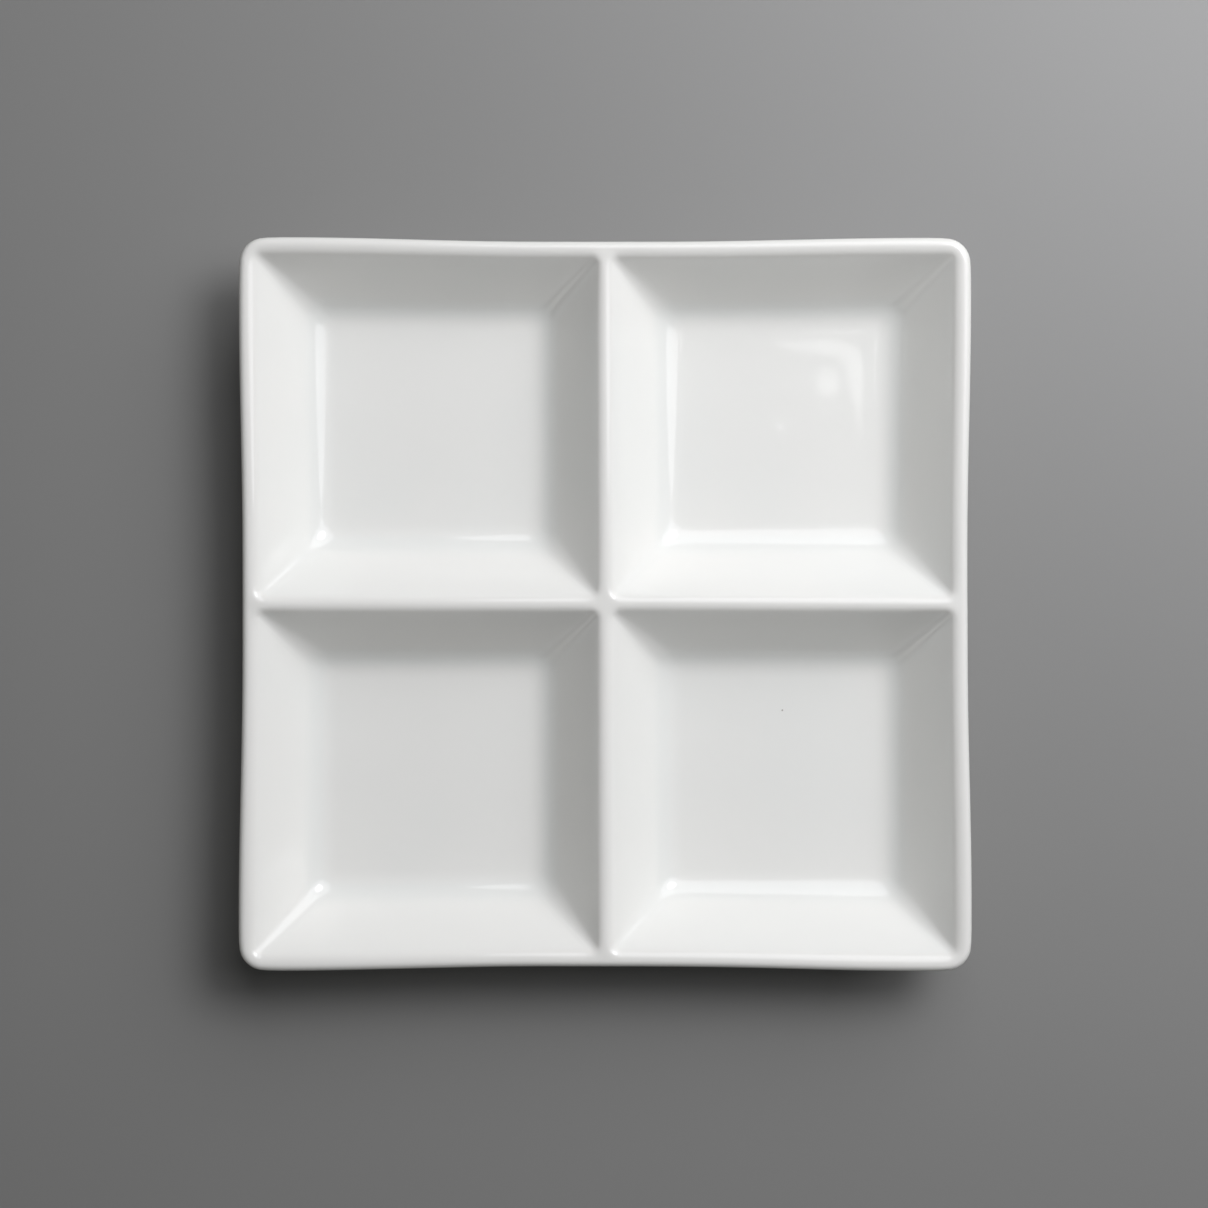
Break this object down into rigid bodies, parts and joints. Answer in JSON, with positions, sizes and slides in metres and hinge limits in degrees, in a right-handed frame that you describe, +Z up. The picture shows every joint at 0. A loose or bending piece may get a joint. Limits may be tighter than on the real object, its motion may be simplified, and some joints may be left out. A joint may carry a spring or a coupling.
{
  "type": "divided plate",
  "caption": "Square white porcelain plate with square sloping wells between rounded dividers, for serving small foods apart; glazed, on bare foot rings.",
  "frame": {"origin": "centre of the plate on the plane of its foot rings", "axes": "+Z up out of the wells; +X to the right and +Y to the top of the picture, along the dividers"},
  "size_m": [0.2, 0.2, 0.028],
  "materials": {
    "biscuit": "fired unglazed porcelain, matt and fine grained, bare only on the foot rings",
    "glaze": "clear gloss glaze over white porcelain"
  },
  "bodies": {
    "root": {"porcelain_body": "biscuit", "glaze_coat": "glaze", "base_glaze_front_left": "glaze", "base_glaze_front_right": "glaze", "base_glaze_back_left": "glaze", "base_glaze_back_right": "glaze"}
  },
  "joints": []
}
